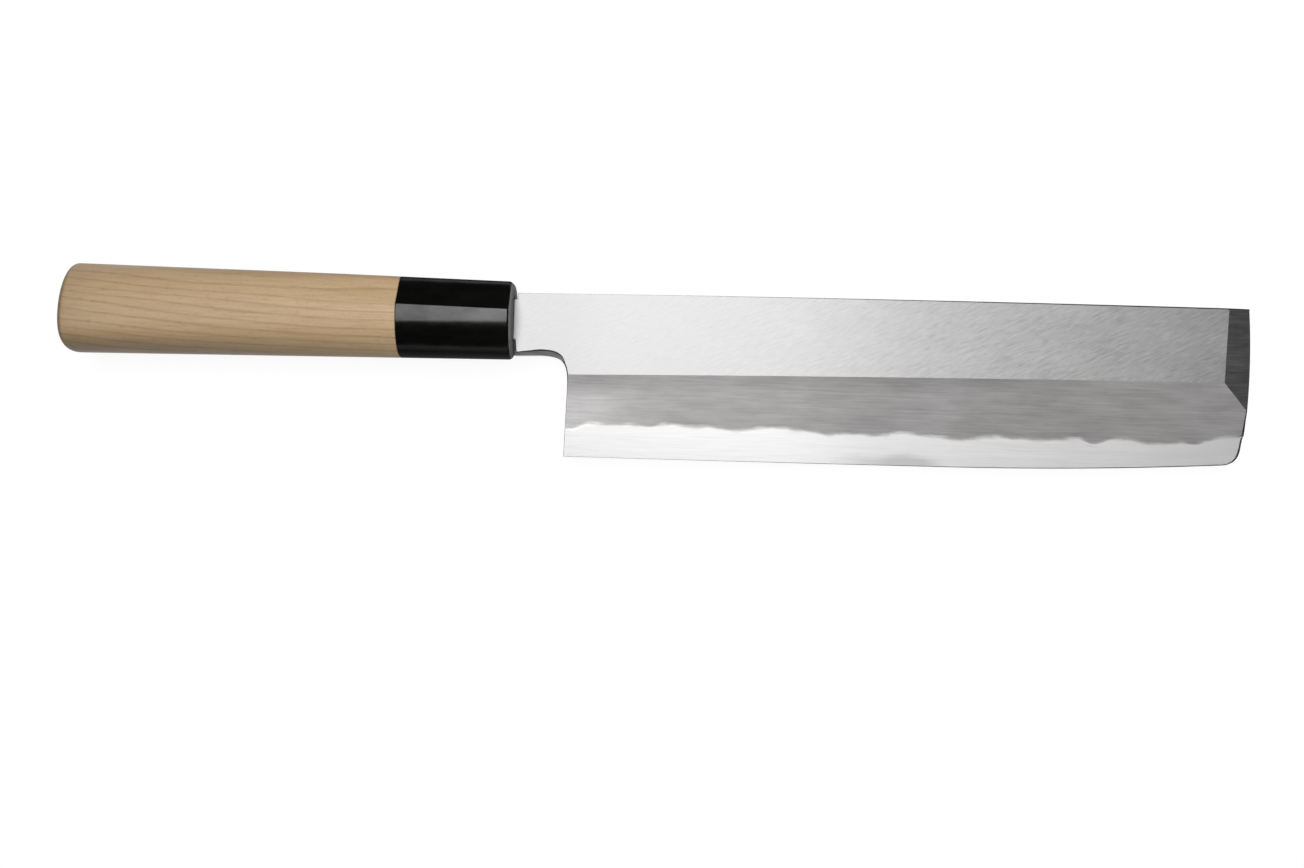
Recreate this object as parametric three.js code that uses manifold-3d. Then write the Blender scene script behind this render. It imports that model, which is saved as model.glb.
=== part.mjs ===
// Usuba, a Japanese vegetable knife: a laminated single-bevel blade in a wooden handle of D section.
// Millimetres. X runs along the handle's axis from the butt to the tip, Y towards the spine and Z out of
// the bevelled face. While the pieces are made, zero lies on that axis at the ferrule's front face.
import * as THREE from "three";
import { mergeVertices } from "three/addons/utils/BufferGeometryUtils.js";
import Module from "manifold-3d";

const wasm = await Module();
wasm.setup();

// Handle: it narrows from the butt to the front. Its section is an oval whose near side stands highest along
// a crest, with a facet above it from a ridge to the top, which is crisp along the ferrule and fades
// towards the butt
const handleLength = 125.3;
const handleHeightFront = 21.8;
const handleHeightButt = 25.35;
const handleThickFront = 18.6;
const handleThickButt = 20.8;
const crestHeightFront = 2.1;
const crestHeightButt = -2.8;
const ridgeHeightFront = 2.45;
const ridgeHeightButt = 4.6;
const facetLean = 0.56; // share of the thickness that the facet has lost at the top
const facetFullnessFront = 12; // of the near side's round over the top, where 2 is an ellipse
const facetFullnessButt = 1.85;
const cheekFullnessFront = 2; // below the crest
const cheekFullnessButt = 2.5;
const palmFullness = 2.2; // the plain far side
const buttRound = 2.2;

// Ferrule, and the walls of the tenon inside it round the bore
const ferruleLength = 31.8;
const ferruleFrontRound = 1.3;
const ferruleFrontWall = 8;
const tenonEdgeWall = 1.1;
const tenonSideWall = 2.7;
const tenonFullness = 2.5;
const glueGap = 0.1;

// Blade, seen on its flat: edge length from heel to tip, and heights above or below the handle's axis
const neckLength = 14.95;
const bladeLength = 194.5;
const spineHeightNeck = 7.82;
const spineHeightTip = 9.92;
const spineBow = 0.45;
const edgeDepthHeel = 37.98;
const edgeRise = 1;
const edgeBelly = 0.2;
const edgeTipLift = 2.75;
const edgeStraightLength = 110;
const tipRadius = 190;
const tipBulgeDepth = 7; // where the tip reaches furthest forward
const tipCorner = 4.3;
const heelLean = 0.75;
const choilReach = 8;
const choilTightness = 0.8; // how far the choil's curve is drawn into its corner
const neckDepthFront = 9.8;
const neckDepthRear = 9.53;
const shoulderGapTop = 1.1;
const shoulderGapBottom = 0.45;

// Blade, seen on its section
const bladeThickHeel = 3.8;
const bladeThickTip = 2.8;
const edgeLand = 0.12;
const flatWidthHeel = 22.8;
const flatWidthTip = 21.1;
const tipFacetSpine = 7;
const tipFacetRidge = 7.7;
const tipFacetDrop = 0.92;
const choilChamferFront = 1;
const choilChamferNeck = 1.7;
const choilChamferRound = 0.35; // past the choil's corner
const choilChamferHeel = 0.1;
const choilChamferSlope = 0.62; // drop for each millimetre of width
const choilChamferTurn = 2.6; // depth over which it narrows round the corner
const choilChamferEnd = 11; // depth at which it has run out

// Hollow in the back, with a flat rim all round
const hollowDepth = 0.5;
const hollowRimSpine = 3;
const hollowRimEdge = 2;
const hollowRimEnds = 5;
const hollowEndSquareness = 8;

// Hard steel welded to the back: where it starts on the neck, and how far its line on the bevel lies
// above the edge, as [distance from the heel, height] along the blade
const steelStart = 6;
const weldGap = 0.03;
const weldLine = [
  [2, 8], [7, 9.8], [11, 9.4], [18, 9.7], [24, 9.2], [29, 10.1], [36, 9.3], [41, 9.7], [49, 8.9],
  [60, 9.8], [65, 9.7], [78, 8.4], [82, 8.9], [88, 8.3], [97, 9.4], [105, 8.5], [115, 7.9], [122, 8.9],
  [135, 8.2], [146, 8.5], [151, 6.9], [158, 8.6], [167, 6.6], [175, 6.9], [180, 6.2], [186, 7.6], [189, 8.1],
];

// Tang and its bed of resin
const tangLength = 92;
const tangTopFront = 6.1;
const tangBottomFront = 5.3;
const tangTopEnd = 3.2;
const tangBottomEnd = 2.8;
const tangThickEnd = 2.6;
const slotClearance = 0.35;
const bedWall = 0.8;
const bedGap = 0.1;
const tangBareEnd = 33.9; // past the end of the bed
const boreRelief = 4;

// Fineness of the curved surfaces, in steps to a round, a curve, a stretch of the weld or a whole length
const sectionPoints = 48;
const facetPoints = 10; // of the section's near upper quarter
const roundSteps = 4;
const formSteps = 6;
const bladeSteps = 32;
const weldSteps = 3;
const curveSteps = 12;
const hollowSteps = 24;

// Overrun of a cutting solid past the piece it cuts, and of the hollow's cut as a share of its half size
const overrun = 1;
const hollowOverrun = 0.02;

const { lerp, clamp, smoothstep } = THREE.MathUtils;
const tipX = neckLength + bladeLength;
const choilX = neckLength + heelLean;
const backZ = -bladeThickHeel / 2;
const boreClearance = bedGap + bedWall + bedGap;

// Share of the way along the edge, from 0 at the heel to 1 at the tip.
const alongEdge = (x) => (x - neckLength) / bladeLength;

// Parabola that rises from 0 to 1 halfway and falls back to 0.
const arch = (along) => 4 * along * (1 - along);

function spineY(x) {
  const along = (x - shoulderGapTop) / (tipX - shoulderGapTop);
  return lerp(spineHeightNeck, spineHeightTip, along) + spineBow * arch(along);
}

function edgeY(x) {
  const along = alongEdge(x);
  const past = Math.max(0, x - neckLength - edgeStraightLength) / (bladeLength - edgeStraightLength);
  return -edgeDepthHeel + edgeRise * along - edgeBelly * arch(along) + edgeTipLift * past ** 2;
}

// Height of the ridge line between the flat and the bevel.
const ridgeY = (x) => spineY(x) - lerp(flatWidthHeel, flatWidthTip, alongEdge(x));

// Height of the blade's front face and of its back face. The tang narrows evenly on both.
function frontZ(x) {
  if (x < 0) return lerp(bladeThickHeel, tangThickEnd, -x / tangLength) / 2;
  return backZ + lerp(bladeThickHeel, bladeThickTip, clamp(alongEdge(x), 0, 1));
}

const rearZ = (x) => (x < 0 ? -frontZ(x) : backZ);

const tangTop = (x) => lerp(tangTopFront, tangTopEnd, -x / tangLength);
const tangBottom = (x) => -lerp(tangBottomFront, tangBottomEnd, -x / tangLength);

// Furthest point of the tip at a height.
const tipEndX = (y) => tipX - tipRadius + Math.sqrt(tipRadius ** 2 - (y + tipBulgeDepth) ** 2);

// Evenly spaced numbers from the first to the last.
function spread(first, last, steps) {
  return Array.from({ length: steps + 1 }, (_, step) => lerp(first, last, step / steps));
}

// Closed solid through a row of rings that have the same number of points. A ring is convex.
function loft(rings) {
  const count = rings[0].length;
  const last = (rings.length - 1) * count;
  const index = [];
  for (let ring = 0; ring < last; ring += count) {
    for (let point = 0; point < count; point += 1) {
      const a = ring + point;
      const b = ring + ((point + 1) % count);
      index.push(a, b, b + count, a, b + count, a + count);
    }
  }
  for (let point = 1; point + 1 < count; point += 1) {
    index.push(0, point + 1, point, last, last + point, last + point + 1);
  }
  const geometry = new THREE.BufferGeometry().setFromPoints(rings.flat());
  geometry.setIndex(index);
  return solid(geometry);
}

// Geometry as a solid that can be joined and cut, with its faces turned outwards.
function solid(geometry) {
  geometry.deleteAttribute("normal");
  geometry.deleteAttribute("uv");
  const merged = mergeVertices(geometry);
  const triVerts = Uint32Array.from(merged.index.array);
  if (signedVolume(merged) < 0) triVerts.reverse();
  const vertProperties = merged.attributes.position.array;
  return new wasm.Manifold(new wasm.Mesh({ numProp: 3, vertProperties, triVerts }));
}

function signedVolume(geometry) {
  const corner = (point) => new THREE.Vector3().fromBufferAttribute(geometry.attributes.position, point);
  let volume = 0;
  for (let start = 0; start < geometry.index.count; start += 3) {
    const [a, b, c] = [0, 1, 2].map((offset) => corner(geometry.index.getX(start + offset)));
    volume += a.dot(b.cross(c));
  }
  return volume;
}

// Named mesh of a finished solid.
function piece(name, shape, look) {
  const { vertProperties, triVerts } = shape.getMesh();
  const geometry = new THREE.BufferGeometry();
  geometry.setAttribute("position", new THREE.BufferAttribute(vertProperties, 3));
  geometry.setIndex(new THREE.BufferAttribute(triVerts, 1));
  geometry.computeVertexNormals();
  const mesh = new THREE.Mesh(geometry, new THREE.MeshStandardMaterial(look));
  mesh.name = name;
  return mesh;
}

// Points of a section, given as [y, z], where it stands along the knife.
const sectionAt = (x, corners) => corners.map(([y, z]) => new THREE.Vector3(x, y, z));

// Ring of points round an oval section about its crest. Each quarter is a superellipse of its own power. A
// facet thins the near upper quarter evenly from its ridge to the top, and one point lies on that ridge.
function ovalRing(x, crest, reachUp, reachDown, reachOut, power, facet = { ridge: 0.5, lean: 0 }) {
  const bend = (share, by) => Math.sign(share) * Math.abs(share) ** by;
  const ridgeTurn = Math.acos(facet.ridge ** (1 / power(1, 1)));
  return Array.from({ length: sectionPoints }, (_, point) => {
    const turn = ringTurn(point, ridgeTurn);
    const [up, out] = [Math.cos(turn), Math.sin(turn)];
    const by = power(up, out);
    const height = bend(up, by);
    const lost = out > 0 ? facet.lean * Math.max(0, (height - facet.ridge) / (1 - facet.ridge)) : 0;
    const reach = up > 0 ? reachUp : reachDown;
    return new THREE.Vector3(x, crest + reach * height, reachOut * (1 - lost) * bend(out, by));
  });
}

// Turn of a ring's point from the top. The near upper quarter's points part at the ridge.
function ringTurn(point, ridgeTurn) {
  const quarter = sectionPoints / 4;
  if (point >= quarter) return (2 * Math.PI * point) / sectionPoints;
  if (point < facetPoints) return (ridgeTurn * point) / facetPoints;
  return lerp(ridgeTurn, Math.PI / 2, (point - facetPoints) / (quarter - facetPoints));
}

// One ring of the handle's outside, drawn in by an inset.
function handleRing(x, inset) {
  const along = -x / handleLength;
  const fade = clamp((-x - ferruleLength) / (handleLength - ferruleLength), 0, 1);
  const halfHeight = lerp(handleHeightFront, handleHeightButt, along) / 2 - inset;
  const halfThick = lerp(handleThickFront, handleThickButt, along) / 2 - inset;
  const crest = lerp(crestHeightFront, crestHeightButt, along);
  const ridge = lerp(ridgeHeightFront, ridgeHeightButt, along);
  const facetPower = lerp(2 / facetFullnessFront, 2 / facetFullnessButt, fade);
  const cheekPower = lerp(2 / cheekFullnessFront, 2 / cheekFullnessButt, fade);
  const nearPower = (up) => (up > 0 ? facetPower : cheekPower);
  const power = (up, out) => (out > 0 ? nearPower(up) : 2 / palmFullness);
  const facet = { ridge: (ridge - crest) / (halfHeight - crest), lean: facetLean * (1 - fade) ** 2 };
  return ovalRing(x, crest, halfHeight - crest, halfHeight + crest, halfThick, power, facet);
}

// Rings that round off one end of the handle's form, from its full section to its end face.
function endRings(end, inwards, radius) {
  if (radius === 0) return [handleRing(end, 0)];
  return spread(0, Math.PI / 2, roundSteps).map((turn) => {
    const back = radius * (1 - Math.sin(turn));
    return handleRing(end + inwards * back, radius * (1 - Math.cos(turn)));
  });
}

// Stretch of the handle's outer form from one end to the other, with each end's edge rounded off.
function handleForm(rear, front, rearRound, frontRound) {
  const between = spread(rear + rearRound, front - frontRound, formSteps).slice(1, -1);
  return loft([
    ...endRings(rear, 1, rearRound).reverse(),
    ...between.map((x) => handleRing(x, 0)),
    ...endRings(front, -1, frontRound),
  ]);
}

// Stretch of the oval tenon from one end to the other, grown all round by an offset.
function tenonForm(rear, front, offset) {
  const halfHeight = Math.max(tangTopFront, tangBottomFront) + boreClearance + tenonEdgeWall + offset;
  const halfThick = bladeThickHeel / 2 + boreClearance + tenonSideWall + offset;
  const ring = (x) => ovalRing(x, 0, halfHeight, halfHeight, halfThick, () => 2 / tenonFullness);
  return loft([ring(rear), ring(front)]);
}

// Stretch of the tang's form from one end to the other, grown all round by an offset.
function tangForm(rear, front, offset) {
  const ring = (x) => {
    const [top, bottom] = [tangTop(x) + offset, tangBottom(x) - offset];
    const half = frontZ(Math.min(x, 0)) + offset;
    return sectionAt(x, [[top, -half], [top, half], [bottom, half], [bottom, -half]]);
  };
  return loft([ring(rear), ring(Math.min(front, 0)), ...(front > 0 ? [ring(front)] : [])]);
}

// Underside of the neck, the choil's curve and the back of the heel, drawn from the ferrule to the heel.
function traceUnderside(path) {
  path.moveTo(shoulderGapBottom, -neckDepthFront);
  const [startX, endY] = [choilX - choilReach, -neckDepthRear - choilReach];
  const pull = choilReach * (1 - choilTightness);
  path.lineTo(startX, -neckDepthRear);
  path.bezierCurveTo(choilX - pull, -neckDepthRear, choilX, -neckDepthRear - pull, choilX, endY);
  path.lineTo(neckLength, edgeY(neckLength));
  return path;
}

// Lower corner, curved end and spine, drawn from the edge round the tip to the neck.
function traceTipAndSpine(path) {
  const cornerY = edgeY(tipX);
  const cornerX = tipEndX(cornerY);
  const cornerTop = cornerY + tipCorner;
  const turnAt = (y) => Math.asin((y + tipBulgeDepth) / tipRadius);
  path.lineTo(cornerX - tipCorner, edgeY(cornerX - tipCorner));
  path.quadraticCurveTo(cornerX, cornerY, tipEndX(cornerTop), cornerTop);
  path.absarc(tipX - tipRadius, -tipBulgeDepth, tipRadius, turnAt(cornerTop), turnAt(spineHeightTip));
  const bowX = (tipEndX(spineHeightTip) + shoulderGapTop) / 2;
  const bowY = (spineHeightNeck + spineHeightTip) / 2 + 2 * spineBow;
  path.quadraticCurveTo(bowX, bowY, shoulderGapTop, spineHeightNeck);
}

// The tang with its shoulders, drawn from the spine side to the neck's underside.
function traceTang(path) {
  path.lineTo(shoulderGapTop, tangTop(0));
  path.lineTo(0, tangTop(0));
  path.lineTo(-tangLength, tangTop(-tangLength));
  path.lineTo(-tangLength, tangBottom(-tangLength));
  path.lineTo(0, tangBottom(0));
  path.lineTo(shoulderGapBottom, tangBottom(0));
}

// Blade and tang as cut out of a plate. Below the edge the plate runs on, because the bevel ends it there.
function bladePlan() {
  const plan = traceUnderside(new THREE.Shape());
  const below = -edgeDepthHeel - overrun;
  plan.lineTo(neckLength, below);
  plan.lineTo(tipEndX(edgeY(tipX)) - tipCorner, below);
  traceTipAndSpine(plan);
  traceTang(plan);
  plan.closePath();
  const depth = bladeThickHeel + 2 * overrun;
  const options = { depth, bevelEnabled: false, curveSegments: curveSteps };
  const geometry = new THREE.ExtrudeGeometry(plan, options);
  geometry.translate(0, 0, backZ - overrun);
  return solid(geometry);
}

// Section of the blade along its length: flat, bevel and back, thinner towards the tip and along the tang.
function bladeWedge() {
  const top = spineHeightTip + spineBow + overrun;
  const ring = (x) => {
    const [front, rear] = [frontZ(x), rearZ(x)];
    const [ridge, edge] = [ridgeY(x), edgeY(x)];
    return sectionAt(x, [[top, rear], [top, front], [ridge, front], [edge, rear + edgeLand], [edge, rear]]);
  };
  const stations = [-tangLength - overrun, 0, ...spread(neckLength, tipX + overrun, bladeSteps)];
  return loft(stations.map(ring));
}

// What the shallow facet at the tip takes off the front.
function tipFacetCut() {
  const end = tipX + overrun;
  const slope = tipFacetDrop / tipFacetSpine;
  const ridge = ridgeY(tipX);
  const lengthPerHeight = (tipFacetRidge - tipFacetSpine) / (spineHeightTip - ridge);
  const ring = (y) => {
    const startX = tipX - tipFacetSpine - lengthPerHeight * (spineHeightTip - y);
    const startZ = frontZ(startX);
    const [before, above] = [startX - overrun, startZ + overrun];
    return [
      new THREE.Vector3(before, y, startZ + slope * overrun),
      new THREE.Vector3(end, y, startZ - slope * (end - startX)),
      new THREE.Vector3(end, y, above),
      new THREE.Vector3(before, y, above),
    ];
  };
  return loft([ring(spineHeightTip + spineBow + overrun), ring(ridge - flatWidthTip)]);
}

// What the chamfer along the neck's underside and the choil takes off the front. It widens along the neck,
// narrows round the choil and runs out on the heel.
function choilChamferCut() {
  const line = traceUnderside(new THREE.Path()).getPoints(curveSteps);
  const rings = line.map((at, index) => {
    const before = line[Math.max(index - 1, 0)];
    const after = line[Math.min(index + 1, line.length - 1)];
    const along = after.clone().sub(before).normalize();
    const alongNeck = (at.x - shoulderGapBottom) / (choilX - choilReach - shoulderGapBottom);
    const onNeck = lerp(choilChamferFront, choilChamferNeck, clamp(alongNeck, 0, 1));
    const below = -at.y - neckDepthRear;
    const onRound = lerp(onNeck, choilChamferRound, smoothstep(below, 0, choilChamferTurn));
    const ended = smoothstep(below, choilChamferTurn, choilChamferEnd);
    const width = lerp(onRound, choilChamferHeel, ended);
    const face = frontZ(at.x);
    const top = face + choilChamferSlope * overrun;
    const from = (inwards, z) =>
      new THREE.Vector3(at.x - along.y * inwards, at.y + along.x * inwards, z);
    return [
      from(width + overrun, top),
      from(-overrun, top),
      from(-overrun, face - choilChamferSlope * (width + overrun)),
    ];
  });
  return loft(rings);
}

// Shallow hollow in the back, deepest along its middle and rising to the rim at its ends.
function backHollowCut() {
  const [startX, endX] = [choilX + hollowRimEnds, tipX - hollowRimEnds];
  const reach = 1 + hollowOverrun;
  const across = spread(-reach, reach, hollowSteps / 2);
  const rings = spread(-reach, reach, hollowSteps).map((along) => {
    const x = lerp(startX, endX, (along + 1) / 2);
    const [low, high] = [edgeY(x) + hollowRimEdge, spineY(x) - hollowRimSpine];
    const surface = across.map((side) => {
      const depth = hollowDepth * (1 - Math.abs(along) ** hollowEndSquareness - side ** 2);
      return new THREE.Vector3(x, lerp(low, high, (side + 1) / 2), backZ + depth);
    });
    const under = (point) => point.clone().setZ(backZ - overrun);
    return [...surface, under(surface.at(-1)), under(surface[0])];
  });
  return loft(rings);
}

// Height of the weld line above the edge, rising and falling smoothly from one of its points to the next.
function weldHeight(along) {
  const next = weldLine.findIndex(([at]) => at > along);
  if (next === 0) return weldLine[0][1];
  if (next < 0) return weldLine.at(-1)[1];
  const [[fromAt, fromHeight], [toAt, toHeight]] = weldLine.slice(next - 1, next + 1);
  return lerp(fromHeight, toHeight, smoothstep(along, fromAt, toAt));
}

// Thickness of the hard steel: the weld meets the bevel on the weld line.
function steelThickness(x) {
  const bevelSlope = (frontZ(x) - backZ - edgeLand) / (ridgeY(x) - edgeY(x));
  return edgeLand + bevelSlope * weldHeight(x - neckLength);
}

// Places along the knife where the weld line is followed.
function weldStations() {
  const stretch = ([to], index) => spread(weldLine[index][0], to, weldSteps).slice(1);
  const along = [weldLine[0][0], ...weldLine.slice(1).flatMap(stretch)];
  return along.map((distance) => neckLength + distance);
}

// Everything behind the weld, moved forward by an offset.
function behindWeld(offset) {
  const [low, high] = [-edgeDepthHeel - overrun, spineHeightTip + spineBow + overrun];
  const ring = (x) => {
    const [weld, behind] = [backZ + steelThickness(x) + offset, backZ - overrun];
    return sectionAt(x, [[high, behind], [high, weld], [low, weld], [low, behind]]);
  };
  return loft([steelStart - offset, ...weldStations(), tipX + overrun].map(ring));
}

// The whole blade with its tang, before the weld parts it into iron and steel.
function bladeBlank() {
  return bladePlan().intersect(bladeWedge()).subtract(tipFacetCut()).subtract(choilChamferCut())
    .subtract(backHollowCut());
}

function bladeIron() {
  const shape = bladeBlank().subtract(behindWeld(weldGap));
  return piece("blade_iron", shape, { color: 0xb4b4b2, roughness: 0.42, metalness: 1 });
}

function edgeSteel() {
  const shape = bladeBlank().intersect(behindWeld(0));
  return piece("edge_steel", shape, { color: 0xdededc, roughness: 0.28, metalness: 1 });
}

function ferrule() {
  const socketEnd = -ferruleFrontWall;
  const shape = handleForm(-ferruleLength, 0, 0, ferruleFrontRound)
    .subtract(tenonForm(-ferruleLength - overrun, socketEnd, glueGap))
    .subtract(tangForm(socketEnd - overrun, overrun, slotClearance));
  return piece("ferrule", shape, { color: 0x0d0d0e, roughness: 0.16, metalness: 0 });
}

function handleWood() {
  const seam = -ferruleLength - glueGap;
  const shape = handleForm(-handleLength, seam, buttRound, 0)
    .add(tenonForm(seam - overrun, -ferruleFrontWall - glueGap, 0))
    .subtract(tangForm(-tangLength - boreRelief, -ferruleFrontWall + overrun, boreClearance));
  return piece("handle_wood", shape, { color: 0xc5ac8b, roughness: 0.62, metalness: 0 });
}

function tangBed() {
  const front = -ferruleFrontWall - glueGap;
  const rear = tangBareEnd - tangLength;
  const shape = tangForm(rear, front, bedGap + bedWall)
    .subtract(tangForm(rear - overrun, front + overrun, bedGap));
  return piece("tang_bed", shape, { color: 0x5a3414, roughness: 0.4, metalness: 0 });
}

// The knife lies level, with the middle of its box on the origin and its lowest point at Z = 0.
const knife = new THREE.Group();
knife.add(bladeIron(), edgeSteel(), ferrule(), handleWood(), tangBed());
const box = new THREE.Box3().setFromObject(knife);
const middle = box.getCenter(new THREE.Vector3());
knife.position.set(-middle.x, -middle.y, -box.min.z);

export default knife;
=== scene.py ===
# A single-bevel vegetable knife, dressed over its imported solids.
# Shapes are worked out in millimetres from the point where the handle's axis meets the ferrule's front face,
# with X towards the tip, Y towards the spine and Z out of the bevelled side.
import math

import bpy
import numpy as np
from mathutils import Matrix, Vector
from mathutils.geometry import delaunay_2d_cdt


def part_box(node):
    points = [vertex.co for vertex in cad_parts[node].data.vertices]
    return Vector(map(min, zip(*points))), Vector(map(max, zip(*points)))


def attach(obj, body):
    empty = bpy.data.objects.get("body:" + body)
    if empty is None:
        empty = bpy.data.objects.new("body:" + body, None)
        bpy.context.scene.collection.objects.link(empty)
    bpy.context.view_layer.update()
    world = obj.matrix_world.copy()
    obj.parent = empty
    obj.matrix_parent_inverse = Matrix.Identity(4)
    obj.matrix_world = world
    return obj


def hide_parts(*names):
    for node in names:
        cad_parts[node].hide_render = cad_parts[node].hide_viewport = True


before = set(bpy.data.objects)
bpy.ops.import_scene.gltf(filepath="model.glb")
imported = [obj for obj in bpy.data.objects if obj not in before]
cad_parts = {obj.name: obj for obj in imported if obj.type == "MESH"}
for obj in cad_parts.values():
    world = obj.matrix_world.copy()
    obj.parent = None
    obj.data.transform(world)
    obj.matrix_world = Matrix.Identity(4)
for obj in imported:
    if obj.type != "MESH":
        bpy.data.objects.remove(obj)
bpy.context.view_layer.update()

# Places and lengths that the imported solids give
MM = 0.001
ferrule_low, ferrule_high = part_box("ferrule")
handle_low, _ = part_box("handle_wood")
blade_low, blade_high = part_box("blade_iron")
AXIS_POINT = np.array((
    ferrule_high.x,
    (ferrule_low.y + ferrule_high.y) / 2,
    (ferrule_low.z + ferrule_high.z) / 2,
))
FERRULE_LENGTH = (ferrule_high.x - ferrule_low.x) / MM
HANDLE_LENGTH = (ferrule_high.x - handle_low.x) / MM
TANG_LENGTH = (ferrule_high.x - blade_low.x) / MM
TIP_X = (blade_high.x - ferrule_high.x) / MM
WOOD_LENGTH = HANDLE_LENGTH - FERRULE_LENGTH

# Handle section, with pairs for the ferrule's front and the butt
# Powers are 2 over the fullness of a curve, which is 2 for an ellipse and more for a squarer one
HANDLE_HEIGHT = (21.8, 25.35)
HANDLE_THICK = (18.6, 20.8)
CREST_HEIGHT = (2.1, -2.8)
RIDGE_HEIGHT = (2.45, 4.6)
FACET_POWER = (2 / 12.0, 2 / 1.85)
CHEEK_POWER = (2 / 2.0, 2 / 2.5)
PALM_POWER = 2 / 2.2
FACET_LEAN = 0.56
RIDGE_SOFTNESS = 0.25
BUTT_ROUND = 2.2
SEAM_CHAMFER = 0.12
GLUE_GAP = 0.1

# Ferrule, tenon and bore
FERRULE_FRONT_ROUND = 1.3
FERRULE_FRONT_WALL = 8.0
SLOT_CLEARANCE = 0.35
SLOT_CHAMFER = 0.15
BORE_CLEARANCE = 1.0
BORE_RELIEF = 4.0
TENON_EDGE_WALL = 1.1
TENON_SIDE_WALL = 2.7
TENON_POWER = 2 / 2.5

# Blade outline
NECK_LENGTH = 14.95
BLADE_LENGTH = TIP_X - NECK_LENGTH
SPINE_HEIGHT_NECK = 7.82
SPINE_HEIGHT_TIP = 9.92
SPINE_BOW = 0.45
EDGE_DEPTH_HEEL = 37.98
EDGE_RISE = 1.0
EDGE_BELLY = 0.2
EDGE_TIP_LIFT = 2.75
EDGE_STRAIGHT_LENGTH = 110.0
TIP_RADIUS = 190.0
TIP_BULGE_DEPTH = 7.0
TIP_CORNER = 4.3
HEEL_LEAN = 0.75
CHOIL_X = NECK_LENGTH + HEEL_LEAN
CHOIL_REACH = 8.0
CHOIL_TIGHTNESS = 0.8
NECK_END = CHOIL_X - CHOIL_REACH
NECK_DEPTH_FRONT = 9.8
NECK_DEPTH_REAR = 9.53
CHOIL_END = -NECK_DEPTH_REAR - CHOIL_REACH
SHOULDER_GAP_TOP = 1.1
SHOULDER_GAP_BOTTOM = 0.45

# Blade thickness, flat, bevel and tip facet
BLADE_THICK_HEEL = 3.8
BLADE_THICK_TIP = 2.8
BACK_Z = -BLADE_THICK_HEEL / 2
EDGE_LAND = 0.12
FLAT_WIDTH_HEEL = 22.8
FLAT_WIDTH_TIP = 21.1
TIP_FACET_SPINE = 7.0
TIP_FACET_RIDGE = 7.7
TIP_FACET_DROP = 0.92

# Widths of the eased and chamfered edges of the blade, with pairs for the near and the far end
CHAMFER_NECK = (1.0, 1.7)
CHAMFER_ROUND = 0.35
CHAMFER_HEEL = 0.1
CHAMFER_TURN = 2.6
CHAMFER_END = 11.0
FILED_END = 1.5
FILED_MARGIN = 1.0
CHAMFER_SLOPE = 0.62
SPINE_EASE = (0.05, 0.36)
TIP_EASE = 0.6
CORNER_EASE = 0.8
TANG_EASE = 0.1
EDGE_EASE_HEEL = 0.08
EDGE_EASE_TIP = 0.25
WELD_EASE = 0.02
EDGE_DEPTH_SHARE = 0.7
EDGE_STEPS = 4

# Hollow back, and the weld between iron and steel
HOLLOW_DEPTH = 0.5
HOLLOW_RIM_SPINE = 3.0
HOLLOW_RIM_EDGE = 2.0
HOLLOW_RIM_ENDS = 5.0
HOLLOW_END_SQUARENESS = 8
HOLLOW_FIRST_X = CHOIL_X + HOLLOW_RIM_ENDS
HOLLOW_LAST_X = TIP_X - HOLLOW_RIM_ENDS
STEEL_START = 6.0
WELD_GAP = 0.03
WELD_SINK = 0.004
# Distance from the heel, and height of the bright steel above the edge there
WELD_LINE = np.array((
    (2, 8.0), (7, 9.8), (11, 9.4), (18, 9.7), (24, 9.2), (29, 10.1), (36, 9.3), (41, 9.7), (49, 8.9),
    (60, 9.8), (65, 9.7), (78, 8.4), (82, 8.9), (88, 8.3), (97, 9.4), (105, 8.5), (115, 7.9), (122, 8.9),
    (135, 8.2), (146, 8.5), (151, 6.9), (158, 8.6), (167, 6.6), (175, 6.9), (180, 6.2), (186, 7.6),
    (189, 8.1),
))

# Tang, inside the handle
TANG_TOP_FRONT = 6.1
TANG_BOTTOM_FRONT = 5.3
TANG_TOP_END = 3.2
TANG_BOTTOM_END = 2.8
TANG_THICK_END = 2.6

# Camera, as the photograph of 1304 by 868 pixels was taken: straight down, slightly rolled
PHOTO_WIDTH = 1304
PHOTO_HEIGHT = 868
FERRULE_PIXEL = (514.26, 321.27)
PIXEL_SIZE = 0.284
CAMERA_HEIGHT = 325.0
CAMERA_ROLL = math.radians(1.787)
SENSOR_WIDTH = 36.0
NEAREST_SEEN = 0.01


def lerp(first, second, share):
    return first + (second - first) * share


def arch(share):
    return 4 * share * (1 - share)


def smooth_step(share):
    held = np.clip(share, 0, 1)
    return held * held * (3 - 2 * held)


# Curves and surfaces of the blade

def along_edge(x):
    return (x - NECK_LENGTH) / BLADE_LENGTH


def spine_y(x):
    share = (x - SHOULDER_GAP_TOP) / (TIP_X - SHOULDER_GAP_TOP)
    return lerp(SPINE_HEIGHT_NECK, SPINE_HEIGHT_TIP, share) + SPINE_BOW * arch(share)


def edge_y(x):
    share = along_edge(x)
    curved = BLADE_LENGTH - EDGE_STRAIGHT_LENGTH
    past = np.maximum(0, x - NECK_LENGTH - EDGE_STRAIGHT_LENGTH) / curved
    return -EDGE_DEPTH_HEEL + EDGE_RISE * share - EDGE_BELLY * arch(share) + EDGE_TIP_LIFT * past ** 2


def ridge_y(x):
    return spine_y(x) - lerp(FLAT_WIDTH_HEEL, FLAT_WIDTH_TIP, along_edge(x))


def front_z(x):
    tang = lerp(BLADE_THICK_HEEL, TANG_THICK_END, -x / TANG_LENGTH) / 2
    blade = BACK_Z + lerp(BLADE_THICK_HEEL, BLADE_THICK_TIP, np.clip(along_edge(x), 0, 1))
    return np.where(x < 0, tang, blade)


def rear_z(x):
    return np.where(x < 0, -front_z(x), BACK_Z)


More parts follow.
